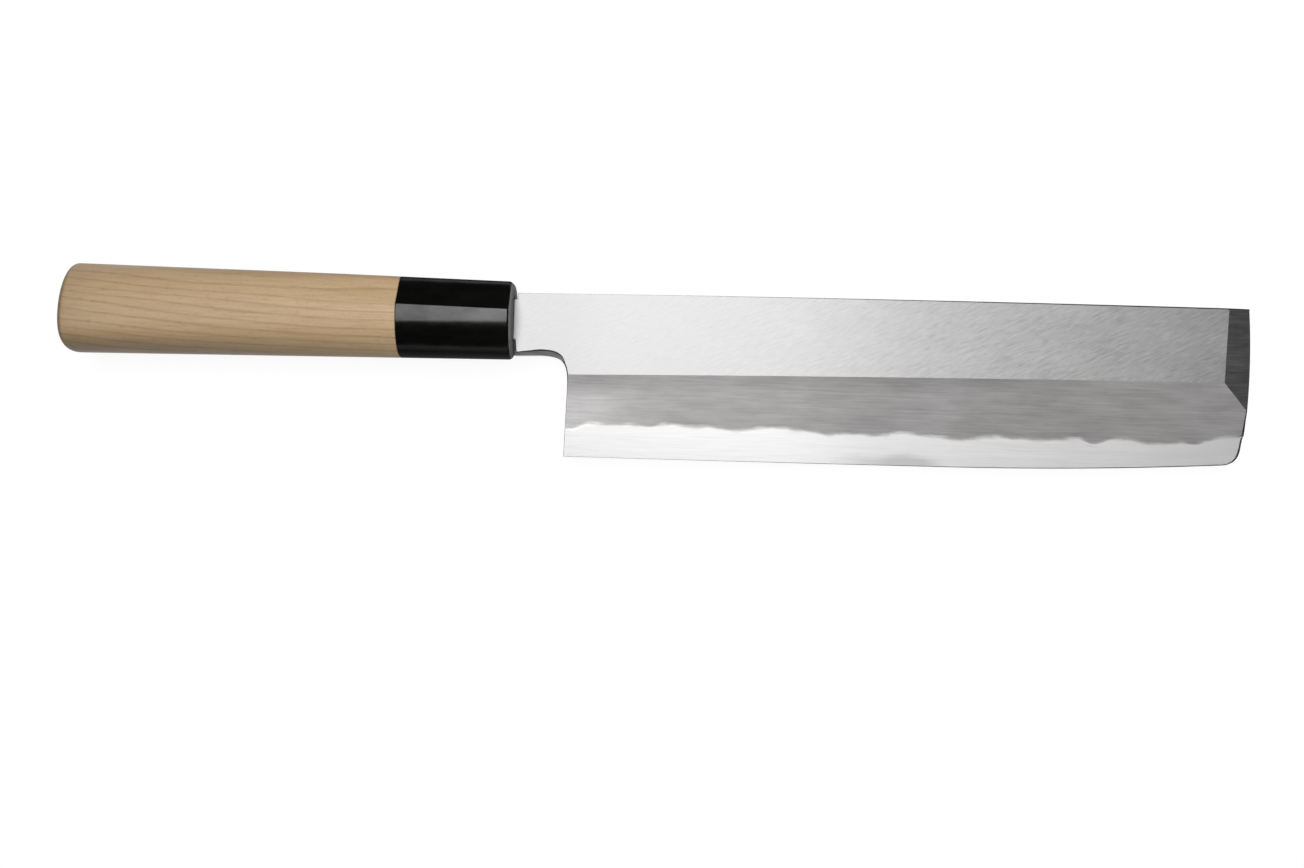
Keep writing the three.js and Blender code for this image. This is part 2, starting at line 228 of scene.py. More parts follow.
def bevel_slope(x):
    return (front_z(x) - BACK_Z - EDGE_LAND) / (ridge_y(x) - edge_y(x))


def bevel_z(x, y):
    return BACK_Z + EDGE_LAND + bevel_slope(x) * (y - edge_y(x))


def facet_start_x(y):
    share = (SPINE_HEIGHT_TIP - y) / FLAT_WIDTH_TIP
    return TIP_X - lerp(TIP_FACET_SPINE, TIP_FACET_RIDGE, share)


def facet_z(x, y):
    start = facet_start_x(y)
    return front_z(start) - (x - start) * TIP_FACET_DROP / TIP_FACET_SPINE


def face_z(x, y):
    return np.minimum(np.minimum(front_z(x), bevel_z(x, y)), facet_z(x, y))


def weld_height(along):
    places, heights = WELD_LINE.T
    after = np.clip(np.searchsorted(places, along), 1, len(places) - 1)
    share = (along - places[after - 1]) / (places[after] - places[after - 1])
    return lerp(heights[after - 1], heights[after], smooth_step(share))


def weld_y(x):
    return edge_y(x) + weld_height(x - NECK_LENGTH)


def weld_z(x):
    return BACK_Z + EDGE_LAND + bevel_slope(x) * weld_height(x - NECK_LENGTH)


def hollow_sides(x):
    return edge_y(x) + HOLLOW_RIM_EDGE, spine_y(x) - HOLLOW_RIM_SPINE


def hollow_back_z(x, y):
    low, high = hollow_sides(x)
    along = 2 * (x - HOLLOW_FIRST_X) / (HOLLOW_LAST_X - HOLLOW_FIRST_X) - 1
    across = 2 * (y - low) / (high - low) - 1
    depth = 1 - np.abs(along) ** HOLLOW_END_SQUARENESS - across ** 2
    return BACK_Z + HOLLOW_DEPTH * np.maximum(0, depth)


def iron_under_z(x, y):
    joined = np.minimum(weld_z(x) + WELD_GAP, face_z(x, y) - WELD_SINK)
    return np.where(x < STEEL_START, rear_z(x), joined)


def steel_face_z(x, y):
    return np.minimum(weld_z(x), face_z(x, y))


def tip_end_x(y):
    return TIP_X - TIP_RADIUS + np.sqrt(TIP_RADIUS ** 2 - (y + TIP_BULGE_DEPTH) ** 2)


def crossing_height(line, across, y, rounds=20):
    """Height where a line y(x) meets a line x(y), found by going from one to the other."""
    for _ in range(rounds):
        y = float(line(across(y)))
    return y


WELD_TIP_Y = crossing_height(weld_y, tip_end_x, weld_y(TIP_X))
SPINE_TIP_Y = crossing_height(spine_y, tip_end_x, SPINE_HEIGHT_TIP)
RIDGE_END_Y = crossing_height(ridge_y, facet_start_x, ridge_y(TIP_X - TIP_FACET_RIDGE))
RIDGE_END_X = float(facet_start_x(RIDGE_END_Y))


# Stretches of the blade's outline, as arrays of points

NECK_STEP = 0.8


def stretch(first, last, step=1.0):
    count = max(1, round(abs(last - first) / step))
    return np.linspace(first, last, count + 1)


def iron_stations(first, last, step=1.0):
    """Places along the iron, with the two added where the steel layer starts."""
    x = np.sort(np.append(stretch(first, last, step), (STEEL_START - WELD_GAP, STEEL_START)))
    return x if last > first else x[::-1]


def line_over(x, height):
    return np.column_stack((x, height(x)))


def along_neck(x):
    return (x - SHOULDER_GAP_BOTTOM) / (NECK_END - SHOULDER_GAP_BOTTOM)


def underside_y(x):
    return -lerp(NECK_DEPTH_FRONT, NECK_DEPTH_REAR, along_neck(x))


def choil_curve(count=26):
    share = np.linspace(0, 1, count)
    pull = 3 * (1 - CHOIL_TIGHTNESS) * share * (1 - share)
    back = CHOIL_REACH * ((1 - share) ** 3 + pull * (1 - share))
    down = CHOIL_REACH * (share ** 3 + pull * share)
    return np.column_stack((CHOIL_X - back, -NECK_DEPTH_REAR - down))


def heel_line(first_y, last_y):
    y = stretch(first_y, last_y, NECK_STEP)
    share = (CHOIL_END - y) / (CHOIL_END - edge_y(NECK_LENGTH))
    return np.column_stack((lerp(CHOIL_X, NECK_LENGTH, share), y))


def tip_line(first_y, last_y, step=0.5):
    y = stretch(first_y, last_y, step)
    return np.column_stack((tip_end_x(y), y))


def tip_corner_curve(count=14):
    corner = np.array((tip_end_x(edge_y(TIP_X)), edge_y(TIP_X)))
    start_x = corner[0] - TIP_CORNER
    end_y = corner[1] + TIP_CORNER
    start = np.array((start_x, edge_y(start_x)))
    end = np.array((tip_end_x(end_y), end_y))
    share = np.linspace(0, 1, count)[:, None]
    return lerp(lerp(start, corner, share), lerp(corner, end, share), share)


def chamfer_width(points):
    on_neck = lerp(*CHAMFER_NECK, np.clip(along_neck(points[:, 0]), 0, 1))
    below = -NECK_DEPTH_REAR - points[:, 1]
    on_round = lerp(on_neck, CHAMFER_ROUND, smooth_step(below / CHAMFER_TURN))
    ended = smooth_step((below - CHAMFER_TURN) / (CHAMFER_END - CHAMFER_TURN))
    return lerp(on_round, CHAMFER_HEEL, ended)


def joined_outline(stretches):
    """One closed outline from stretches given as points, edge width and how flat that edge is."""
    points = np.concatenate([part[:-1] for part, _, _ in stretches])
    widths = np.concatenate([np.broadcast_to(width, len(part))[:-1] for part, width, _ in stretches])
    flatness = np.concatenate([np.full(len(part) - 1, flat) for part, _, flat in stretches])
    softened = (np.roll(widths, 1) + 2 * widths + np.roll(widths, -1)) / 4
    return points, softened, flatness


def iron_outline():
    under = line_over(iron_stations(SHOULDER_GAP_BOTTOM, NECK_END, NECK_STEP), underside_y)
    choil = choil_curve()
    heel = heel_line(CHOIL_END, float(weld_y(NECK_LENGTH)))
    weld = line_over(stretch(heel[-1, 0], tip_end_x(WELD_TIP_Y)), weld_y)
    tip = tip_line(weld[-1, 1], SPINE_TIP_Y)
    spine = line_over(iron_stations(tip[-1, 0], SHOULDER_GAP_TOP), spine_y)
    spine_width = lerp(*SPINE_EASE, smooth_step(along_edge(spine[:, 0])))
    tang = np.array((
        spine[-1],
        (SHOULDER_GAP_TOP, TANG_TOP_FRONT),
        (0, TANG_TOP_FRONT),
        (-TANG_LENGTH, TANG_TOP_END),
        (-TANG_LENGTH, -TANG_BOTTOM_END),
        (0, -TANG_BOTTOM_FRONT),
        (SHOULDER_GAP_BOTTOM, -TANG_BOTTOM_FRONT),
        under[0],
    ))
    return joined_outline((
        (under, chamfer_width(under), 1),
        (choil, chamfer_width(choil), 1),
        (heel, chamfer_width(heel), 1),
        (weld, WELD_EASE, 1),
        (tip, TIP_EASE, 1),
        (spine, spine_width, 1),
        (tang, TANG_EASE, 0),
    ))


def steel_outline():
    under = line_over(stretch(STEEL_START, NECK_END, NECK_STEP), underside_y)
    choil = choil_curve()
    heel_covered = heel_line(CHOIL_END, float(weld_y(NECK_LENGTH)))
    heel_bare = heel_line(heel_covered[-1, 1], float(edge_y(NECK_LENGTH)))
    corner = tip_corner_curve()
    edge = line_over(stretch(NECK_LENGTH, corner[0, 0]), edge_y)
    tip_bare = tip_line(corner[-1, 1], WELD_TIP_Y)
    tip_covered = tip_line(tip_bare[-1, 1], SPINE_TIP_Y)
    spine = line_over(stretch(tip_covered[-1, 0], STEEL_START), spine_y)
    end = np.array((spine[-1], under[0]))
    edge_width = lerp(EDGE_EASE_HEEL, EDGE_EASE_TIP, smooth_step(along_edge(edge[:, 0])))
    turned = np.linspace(0, 1, len(corner))
    corner_width = lerp(EDGE_EASE_TIP, CORNER_EASE, smooth_step(turned))
    return joined_outline((
        (under, WELD_EASE, 1),
        (choil, WELD_EASE, 1),
        (heel_covered, WELD_EASE, 1),
        (heel_bare, CHAMFER_HEEL, 1),
        (edge, edge_width, 1),
        (corner, corner_width, 1),
        (tip_bare, CORNER_EASE, 1),
        (tip_covered, WELD_EASE, 1),
        (spine, WELD_EASE, 1),
        (end, WELD_EASE, 1),
    ))


# Lines where the blade's surfaces meet, and points that keep its triangles small

def ridge_line(overrun=HEEL_LEAN * 0.2, step=2.0):
    return line_over(stretch(CHOIL_X - overrun, RIDGE_END_X, step), ridge_y)


def facet_line(step=1.5):
    y = stretch(SPINE_TIP_Y, RIDGE_END_Y, step)
    return np.column_stack((facet_start_x(y), y))


def facet_bevel_line(step=0.6, tries=2000):
    """Where the tip facet cuts the bevel, from the ridge down to the tip's outline."""
    line = [(RIDGE_END_X, RIDGE_END_Y)]
    for y in np.arange(RIDGE_END_Y - step, -EDGE_DEPTH_HEEL, -step):
        x = np.linspace(TIP_X - 2 * TIP_FACET_RIDGE, tip_end_x(y), tries)
        below = np.flatnonzero(facet_z(x, y) < bevel_z(x, y))
        if len(below) == 0:
            break
        line.append((x[below[0]], y))
    return np.array(line)


def steel_start_lines():
    starts = np.array((STEEL_START - WELD_GAP, STEEL_START))
    return list(np.stack((line_over(starts, underside_y), line_over(starts, spine_y)), axis=1))


def hollow_rim_line(count=240):
    turn = np.linspace(0, 2 * math.pi, count)
    along = np.sign(np.cos(turn)) * np.abs(np.cos(turn)) ** (2 / HOLLOW_END_SQUARENESS)
    x = lerp(HOLLOW_FIRST_X, HOLLOW_LAST_X, (along + 1) / 2)
    return np.column_stack((x, lerp(*hollow_sides(x), (np.sin(turn) + 1) / 2)))


# Points inside the blade's faces: margin from the choil, spacing along the blade and number of rows
FLAT_FILL = (3, 4.0, 5)
BEVEL_FILL = (2, 2.5, 4)
HOLLOW_FILL = (8, 3.0, 16)
STEEL_TIP_MARGIN = 8


def rows_of_points(fill, last_x, low, high):
    margin, step, rows = fill
    x = stretch(CHOIL_X + margin, last_x, step)
    shares = (np.arange(rows) + 0.5) / rows
    return np.concatenate([np.column_stack((x, lerp(low(x), high(x), share))) for share in shares])


# Mesh building, with the zones of a plate's faces

TOP_ZONE, EDGE_ZONE, BOTTOM_ZONE, WALL_ZONE, INNER_EDGE_ZONE = range(5)


def outline_directions(points):
    """Outward directions of a counter-clockwise outline: by side, by point, and by point for insetting."""
    ahead = np.roll(points, -1, axis=0) - points
    side = np.column_stack((ahead[:, 1], -ahead[:, 0]))
    side /= np.linalg.norm(side, axis=1, keepdims=True)
    point = side + np.roll(side, 1, axis=0)
    point /= np.linalg.norm(point, axis=1, keepdims=True)
    miter = point / np.sum(point * side, axis=1, keepdims=True)
    return side, point, miter


def side_normals(side, point, sharp_turn=math.radians(30)):
    """Normals at the two ends of each side, shared with the next side unless the outline turns sharply."""
    turn = np.sum(side * np.roll(side, 1, axis=0), axis=1) < math.cos(sharp_turn)
    start = np.where(turn[:, None], side, point)
    end_turn = np.roll(turn, -1)
    end = np.where(end_turn[:, None], side, np.roll(point, -1, axis=0))
    return start, end


def triangulate(outline, lines, inner, joining_distance=1e-5):
    """Triangles that fill an outline along given lines, with the outline's points kept first."""
    points = [Vector(point) for point in outline]
    edges = []
    for line in lines:
        first = len(points)
        points.extend(Vector(point) for point in line)
        edges.extend((index, index + 1) for index in range(first, len(points) - 1))
    points.extend(Vector(point) for point in inner)
    boundary = [list(range(len(outline)))]
    found, _, triangles, sources, _, _ = delaunay_2d_cdt(points, edges, boundary, 1, joining_distance)
    place = {source: index for index, group in enumerate(sources) for source in group}
    order = [place[index] for index in range(len(outline))]
    known = set(order)
    order.extend(index for index in range(len(found)) if index not in known)
    rank = np.empty(len(found), dtype=int)
    rank[order] = np.arange(len(found))
    return np.array([found[index] for index in order]), rank[np.array(triangles)]


def surface_normals(height, corners, inset=0.03, step=1e-3):
    """Normals of a height surface at the corners of triangles, each taken just inside its own triangle."""
    inside = lerp(corners, corners.mean(axis=1, keepdims=True), inset)
    x = inside[..., 0]
    y = inside[..., 1]
    across = (height(x + step, y) - height(x - step, y)) / (2 * step)
    up = (height(x, y + step) - height(x, y - step)) / (2 * step)
    normals = np.stack((-across, -up, np.ones_like(across)), axis=-1)
    return normals / np.linalg.norm(normals, axis=-1, keepdims=True)


def snapped(line, ring, reach=1.2):
    """A line whose ends are moved to the nearest points of a ring, where they lie near it."""
    ends = []
    for end in (line[0], line[-1]):
        nearest = ring[np.argmin(np.sum((ring - end) ** 2, axis=1))]
        ends.append(nearest if np.linalg.norm(nearest - end) < reach else end)
    return np.concatenate(([ends[0]], line[1:-1], [ends[1]]))


def edge_rings(outline, widths, flatness, top, bottom):
    """Rings of the rounded or chamfered upper edge from the outside in, and how far each leans up."""
    _, _, miter = outline_directions(outline)
    thickness = top(*outline.T) - bottom(*outline.T)
    depth = np.minimum(widths * lerp(1, CHAMFER_SLOPE, flatness), EDGE_DEPTH_SHARE * thickness)
    rings = []
    leans = []
    for share in np.linspace(0, 1, EDGE_STEPS + 1):
        turn = share * math.pi / 2
        inset = widths * lerp(1 - math.cos(turn), share, flatness)
        drop = depth * lerp(1 - math.sin(turn), 1 - share, flatness)
        ring = outline - miter * inset[:, None]
        rings.append(np.column_stack((ring, top(*ring.T) - drop)))
        leans.append(lerp(turn, np.arctan2(widths, depth), flatness))
    return rings, leans


def leaned(flat_normals, lean):
    """Outward directions in the plan, turned up by an angle."""
    return np.column_stack((flat_normals * np.cos(lean)[:, None], np.sin(lean)))


def ring_quads(low, high, count):
    """Quads between two rings of vertices, which start at the given numbers."""
    here = np.arange(count)
    after = np.roll(here, -1)
    return np.column_stack((low + here, low + after, high + after, high + here))


def plate_mesh(outline, widths, flatness, top, bottom, top_lines, bottom_lines, top_inner, bottom_inner):
    """Closed body between two height surfaces, as vertices, faces, corner normals and each face's zone."""
    count = len(outline)
    side, point, _ = outline_directions(outline)
    start, end = side_normals(side, point)
    rings, leans = edge_rings(outline, widths, flatness, top, bottom)
    inner_ring = rings[-1][:, :2]
    top_points, top_triangles = triangulate(
        inner_ring, [snapped(line, inner_ring) for line in top_lines], top_inner)
    bottom_points, bottom_triangles = triangulate(outline, bottom_lines, bottom_inner)
    top_extra = top_points[count:]
    top_vertices = np.column_stack((top_extra, top(*top_extra.T)))
    bottom_vertices = np.column_stack((bottom_points, bottom(*bottom_points.T)))
    vertices = np.concatenate((*rings, top_vertices, bottom_vertices))
    bottom_start = EDGE_STEPS * count + len(top_points)

    after = np.roll(np.arange(count), -1)
    level = np.zeros(count)
    faces = []
    normals = []
    zones = []

    def add(new_faces, new_normals, zone):
        faces.extend(new_faces.tolist())
        normals.append(new_normals.reshape(-1, 3))
        zones.append(np.full(len(new_faces), zone))

    wall_normals = [leaned(flat, level) for flat in (start, end, end, start)]
    add(ring_quads(bottom_start, 0, count), np.stack(wall_normals, axis=1), WALL_ZONE)
    for step in range(EDGE_STEPS):
        quads = ring_quads(step * count, (step + 1) * count, count)
        quad_normals = (
            leaned(start, leans[step]),
            leaned(end, leans[step][after]),
            leaned(end, leans[step + 1][after]),
            leaned(start, leans[step + 1]),
        )
        zone = INNER_EDGE_ZONE if step == EDGE_STEPS - 1 else EDGE_ZONE
        add(quads, np.stack(quad_normals, axis=1), zone)
    top_faces = top_triangles + EDGE_STEPS * count
    add(top_faces, surface_normals(top, vertices[top_faces]), TOP_ZONE)
    bottom_faces = bottom_triangles[:, ::-1] + bottom_start
    add(bottom_faces, -surface_normals(bottom, vertices[bottom_faces]), BOTTOM_ZONE)
    return vertices, faces, np.concatenate(normals), np.concatenate(zones)


def add_object(name, data):
    added = bpy.data.objects.new(name, data)
    bpy.context.scene.collection.objects.link(added)
    return added


def add_piece(name, vertices, faces, materials):
    mesh = bpy.data.meshes.new(name)
    mesh.from_pydata((vertices * MM + AXIS_POINT).tolist(), [], faces)
    mesh.shade_smooth()
    for material in materials:
        mesh.materials.append(material)
    return add_object(name, mesh)


def stand_for(piece, node):
    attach(piece, "root")
    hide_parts(node)


def add_blade_measures(mesh, vertices):
    x, y, _ = vertices.T
    for name, values in (("above_weld", y - weld_y(x)), ("below_ridge", ridge_y(x) - y)):
        attribute = mesh.attributes.new(name, "FLOAT", "POINT")
        attribute.data.foreach_set("value", values.astype(np.float32))


# Handle section and lofts

# Points on the stretches of a ring: top to ridge, ridge to crest, crest to bottom, and the far side's two
STRETCH_POINTS = (44, 12, 48, 48, 48)
RING_POINTS = sum(STRETCH_POINTS)
DENSE_POINTS = 300
SHARP_ANGLE = math.radians(35)


def superellipse_stretch(first, last, power):
    """Heights and widths along a superellipse's quarter between two heights, as shares of its reach."""
    turns = np.linspace(math.acos(first ** (1 / power)), math.acos(last ** (1 / power)), DENSE_POINTS)
    by_turn = np.cos(turns) ** power
    by_height = np.linspace(first, last, DENSE_POINTS)
    tall = np.sort(np.clip(np.concatenate((by_turn, by_height)), 0, 1))[::-1]
    return tall, np.maximum(0, 1 - tall ** (2 / power)) ** (power / 2)


def dense_section(crest, up, down, out, powers, ridge=0.5, lean=0.0):
    """Stretches of a closed section as (y, z), from the top over the bevelled side, about the crest height.

    The lean thins the section evenly from the ridge, given as a share of the height, to the top.
    """
    stretches = []
    for first, last, power, reach_y, reach_z, backwards in (
        (1, ridge, powers[0], up, out, False),
        (ridge, 0, powers[0], up, out, False),
        (1, 0, powers[1], -down, out, True),
        (1, 0, powers[2], -down, -out, False),
        (1, 0, powers[2], up, -out, True),
    ):
        tall, wide = superellipse_stretch(first, last, power)
        leans = lean if reach_y > 0 and reach_z > 0 else 0
        kept = 1 - leans * np.maximum(0, (tall - ridge) / (1 - ridge))
        points = np.column_stack((crest + reach_y * tall, reach_z * wide * kept))
        stretches.append(points[::-1] if backwards else points)
    return stretches


def path_length(points):
    return np.concatenate(([0], np.cumsum(np.linalg.norm(np.diff(points, axis=0), axis=1))))


def softened_loop(points, reach, samples=9):
    """A closed loop with its corners rounded by averaging each point with its surroundings."""
    closed = np.concatenate((points, points[:1]))
    length = path_length(closed)
    soft = np.zeros_like(points)
    offsets = np.linspace(-reach, reach, samples)
    for offset in offsets:
        place = (length[:-1] + offset) % length[-1]
        soft += np.column_stack([np.interp(place, length, closed[:, axis]) for axis in (0, 1)])
    return soft / len(offsets)


def spaced_ring(stretches, gathering=0.8):
    """Ring of points along the stretches of a section, gathered towards the ends of each."""
    ring = []
    for points, count in zip(stretches, STRETCH_POINTS):
        share = np.arange(count) / count
        length = path_length(points)
        place = lerp(share, (1 - np.cos(math.pi * share)) / 2, gathering) * length[-1]
        ring.append(np.column_stack([np.interp(place, length, points[:, axis]) for axis in (0, 1)]))
    return np.concatenate(ring)


def at_station(x, section):
    return np.column_stack((np.full(len(section), x), section))


def handle_ring(x, inset=0.0):
    share = np.clip(-x / HANDLE_LENGTH, 0, 1)
    half_height = lerp(*HANDLE_HEIGHT, share) / 2 - inset
    half_thick = lerp(*HANDLE_THICK, share) / 2 - inset
    fade = np.clip((-x - FERRULE_LENGTH) / WOOD_LENGTH, 0, 1)
    crest = lerp(*CREST_HEIGHT, share)
    ridge = lerp(*RIDGE_HEIGHT, share)
    powers = (lerp(*FACET_POWER, fade), lerp(*CHEEK_POWER, fade), PALM_POWER)
    up = half_height - crest
    lean = FACET_LEAN * (1 - fade) ** 2
    stretches = dense_section(crest, up, half_height + crest, half_thick, powers, (ridge - crest) / up, lean)
    loop = softened_loop(np.concatenate(stretches), RIDGE_SOFTNESS)
    return at_station(x, spaced_ring(np.split(loop, len(stretches))))


def oval_ring(x, half_height, half_thick):
    powers = (TENON_POWER, TENON_POWER, TENON_POWER)
    return at_station(x, spaced_ring(dense_section(0, half_height, half_height, half_thick, powers)))


def slot_ring(x, clearance):
    """Ring round the tang's section where it passes through a slot, with its corners on points."""
    top = TANG_TOP_FRONT + clearance
    bottom = -TANG_BOTTOM_FRONT - clearance
    half = BLADE_THICK_HEEL / 2 + clearance
    half_count = round(RING_POINTS / 4 * 2 * half / (top - bottom + 2 * half))
    side_count = RING_POINTS // 2 - 2 * half_count
    corners = np.array(((top, 0), (top, half), (bottom, half), (bottom, -half), (top, -half), (top, 0)))
    counts = (half_count, side_count, 2 * half_count, side_count, half_count)
    parts = [
        lerp(corners[index], corners[index + 1], (np.arange(count) / count)[:, None])
        for index, count in enumerate(counts)
    ]
    return at_station(x, np.concatenate(parts))


def rounded_end(end_x, radius, direction, steps=8):
    """Rings of a rounded end of the handle's section, from its side to its face."""
    rings = []
    for turn in np.linspace(0, math.pi / 2, steps + 1):
        short = radius * (1 - math.sin(turn))
        inset = radius * (1 - math.cos(turn))
        rings.append(handle_ring(end_x - direction * short, inset))
    return rings


def loft(rings, closed):
    """Quads between rings of equal count, closed into a loop of rings or capped at both ends."""
    count = len(rings[0])
    starts = np.arange(len(rings)) * count
    faces = []
    for index in range(len(rings) if closed else len(rings) - 1):
        faces.extend(ring_quads(starts[index], starts[(index + 1) % len(rings)], count).tolist())
    if not closed:
        faces.append(np.arange(count)[::-1].tolist())
        faces.append((starts[-1] + np.arange(count)).tolist())
    return np.concatenate(rings), faces


# Node helpers

def set_inputs(node, inputs):
    for key, value in inputs.items():
        if isinstance(value, bpy.types.NodeSocket):
            node.id_data.links.new(value, node.inputs[key])
        else:
            node.inputs[key].default_value = value


def add_node(kind, inputs, tree=None, **settings):
    """A new node, in the given tree or in the one that its linked inputs come from."""
    linked = [value for value in inputs.values() if isinstance(value, bpy.types.NodeSocket)]
    node = (tree or linked[0].id_data).nodes.new("ShaderNode" + kind)
    for name, value in settings.items():
        setattr(node, name, value)
    set_inputs(node, inputs)
    return node


def start_material(name):
    """A new material and the place on the object that is shaded."""
    material = bpy.data.materials.new(name)
    material.use_nodes = True
    return material, add_node("TexCoord", {}, material.node_tree).outputs["Object"]


def finish_material(material, inputs):
    set_inputs(material.node_tree.nodes["Principled BSDF"], inputs)
    return material


def noise(place, scale, detail, roughness=0.5, distortion=0.0, turn=0.0):
    """Noise over places turned about Z and then scaled, in cycles a metre along X, Y and Z."""
    inputs = {"Vector": place, "Angle": turn}
    turned = add_node("VectorRotate", inputs, rotation_type="Z_AXIS")
    scaled = add_node("Mapping", {"Vector": turned.outputs[0], "Scale": scale})
    inputs = {"Vector": scaled.outputs[0], "Scale": 1.0, "Detail": detail, "Roughness": roughness,
              "Distortion": distortion}
    return add_node("TexNoise", inputs).outputs["Fac"]


def remap(value, low, high, new_low=0.0, new_high=1.0, smooth=False):
    inputs = {"Value": value, "From Min": low, "From Max": high, "To Min": new_low, "To Max": new_high}
    kind = "SMOOTHSTEP" if smooth else "LINEAR"
    return add_node("MapRange", inputs, interpolation_type=kind).outputs["Result"]


def spread(pattern, low=0.0, high=1.0, pattern_low=0.3, pattern_high=0.7):
    """Levels between two ends over what a pattern of noise mostly lies between."""
    return remap(pattern, pattern_low, pattern_high, low, high)


def calculate(operation, first, second):
    return add_node("Math", {0: first, 1: second}, operation=operation).outputs[0]


def product(first, second):
    return calculate("MULTIPLY", first, second)


def weighted(*pairs):
    """Sum of values, each times its weight."""
    total = 0.0
    for value, weight in pairs:
        term = add_node("Math", {0: value, 1: weight, 2: total}, operation="MULTIPLY_ADD")
        total = term.outputs[0]
    return total


def mix_colour(share, first, second, blend="MIX"):
    inputs = {0: share, 6: first, 7: second}
    return add_node("Mix", inputs, data_type="RGBA", blend_type=blend).outputs[2]


def grey(level):
    return (level, level, level, 1)


def bumped(height, strength, distance):
    inputs = {"Height": height, "Strength": strength, "Distance": distance}
    return add_node("Bump", inputs).outputs["Normal"]


def part_of(vector, axis):
    return add_node("SeparateXYZ", {0: vector}).outputs[axis]


def facing(place, axis):
    """How far the surface faces along an axis of the object."""
    return part_of(place.node.outputs["Normal"], axis)


def profile(value, *stops):
    """Value drawn as straight lines between stops, each a place from 0 to 1 and its level."""
    node = add_node("ValToRGB", {0: value})
    points = node.color_ramp.elements
    while len(points) < len(stops):
        points.new(1.0)
    for point, (position, level) in zip(points, stops):
        point.position = position
        point.color = grey(level)
    return node.outputs["Color"]


def tinted(colour, *levels):
    """A colour times grey levels."""
    for level in levels:
        colour = mix_colour(1.0, colour, level, "MULTIPLY")
    return colour


def along_blade(place):
    """Share of the way from the heel to the tip."""
    heel = AXIS_POINT[0] + NECK_LENGTH * MM
    return remap(part_of(place, "X"), heel, heel + BLADE_LENGTH * MM)


def along_handle(place, length):
    """Share of the way from the butt over a length of the handle, in millimetres."""
    butt = AXIS_POINT[0] - HANDLE_LENGTH * MM
    return remap(part_of(place, "X"), butt, butt + length * MM)


def measure(place, name):
    return add_node("Attribute", {}, place.id_data, attribute_name=name).outputs["Fac"]


# Materials

SCRATCH_TURN = math.radians(-27)
CROSSING_TURN = SCRATCH_TURN + 0.16
# Painted shadow on the blade next to the ferrule's front: how far it reaches, in millimetres, and its
# darkest level
JOINT_SHADE = 0.35
JOINT_SHADOW_LEVEL = 0.06


def flat_iron():
    """Satin flat of the blade, with faint clouds and short fine scratches, stronger towards the tip, painted
    light and shade along its length and a painted shadow next to the ferrule.
    """
    material, place = start_material("flat_iron")
    share = along_blade(place)
    scratches = noise(place, (230, 1700, 1), 3, 0.7, 0.3, SCRATCH_TURN)
    crossing = noise(place, (260, 1500, 1), 3, 0.7, 0.3, CROSSING_TURN)
    clouds = noise(place, (60, 110, 1), 3)
    tone = weighted((scratches, 0.5), (crossing, 0.32), (clouds, 0.18))
    strength = remap(share, 0.15, 0.7, 0.5, 1.05)
    swing = product(calculate("SUBTRACT", tone, 0.5), strength)
    base = mix_colour(remap(swing, -0.2, 0.2), grey(0.31), grey(0.55))
    # Painted light and shade: the flat lighter or darker in stretches along the blade
    along = profile(
        share, (0, 0.92), (0.06, 0.96), (0.34, 1.01), (0.5, 0.94), (0.63, 0.93), (0.75, 0.99),
        (0.87, 1.03), (1, 1.03))
    # Painted shadow: the blade darkens towards the ferrule's front, where the slot shades it
    start = AXIS_POINT[0]
    end = start + JOINT_SHADE * MM
    painted_joint_shadow = remap(part_of(place, "X"), start, end, JOINT_SHADOW_LEVEL, 1, smooth=True)
    return finish_material(material, {
        "Metallic": 1.0,
        "Base Color": tinted(base, along, painted_joint_shadow),
        "Roughness": spread(tone, 0.42, 0.48),
        "Normal": bumped(scratches, 0.12, 0.00003),
    })


# Painted shade under the ridge and painted light at the heel, which go from and to distances below the ridge
RIDGE_SHADE = (6.0, 0.0)
RIDGE_SHADE_LEVEL = 0.8
HEEL_LIGHT = (3.0, 8.0)
HEEL_LIGHT_LEVEL = 1.4


def bevel_iron(place, lines, below_ridge):
    """Colour of the soft iron on the bevel: painted shade under the ridge, painted light low down at the
    heel, and painted light and shade along the blade.
    """
    share = along_blade(place)
    # Painted light and shade: the iron lighter or darker in stretches along the blade
    along = profile(
        share, (0, 0.95), (0.1, 0.94), (0.34, 0.88), (0.46, 0.81), (0.55, 0.87), (0.63, 0.86),
        (0.72, 0.93), (0.81, 1.03), (0.9, 1.12), (0.96, 1.22))
    under = remap(below_ridge, *RIDGE_SHADE, smooth=True)
    under = product(under, remap(share, 0.6, 0.8, 1, 0))
    shaded = remap(under, 0, 1, 1, RIDGE_SHADE_LEVEL)
    low = remap(below_ridge, *HEEL_LIGHT, smooth=True)
    low = product(low, remap(share, 0, 0.16, 1, 0))
    lit = remap(low, 0, 1, 1, HEEL_LIGHT_LEVEL)
    clouds = noise(place, (70, 200, 1), 3, 0.65)
    tone = spread(weighted((lines, 0.65), (clouds, 0.35)))
    warmth = noise(place, (30, 40, 1), 1)
    cool = mix_colour(tone, (0.31, 0.303, 0.306, 1), (0.54, 0.528, 0.532, 1))
    warm = mix_colour(tone, (0.31, 0.303, 0.296, 1), (0.54, 0.528, 0.516, 1))
    return tinted(mix_colour(remap(warmth, 0.35, 0.65), cool, warm), along, shaded, lit)


# Duller stretch of the edge, by height above the weld line
DULL_EDGE = (-5.0, -7.5)
DULL_LEVEL = 0.74


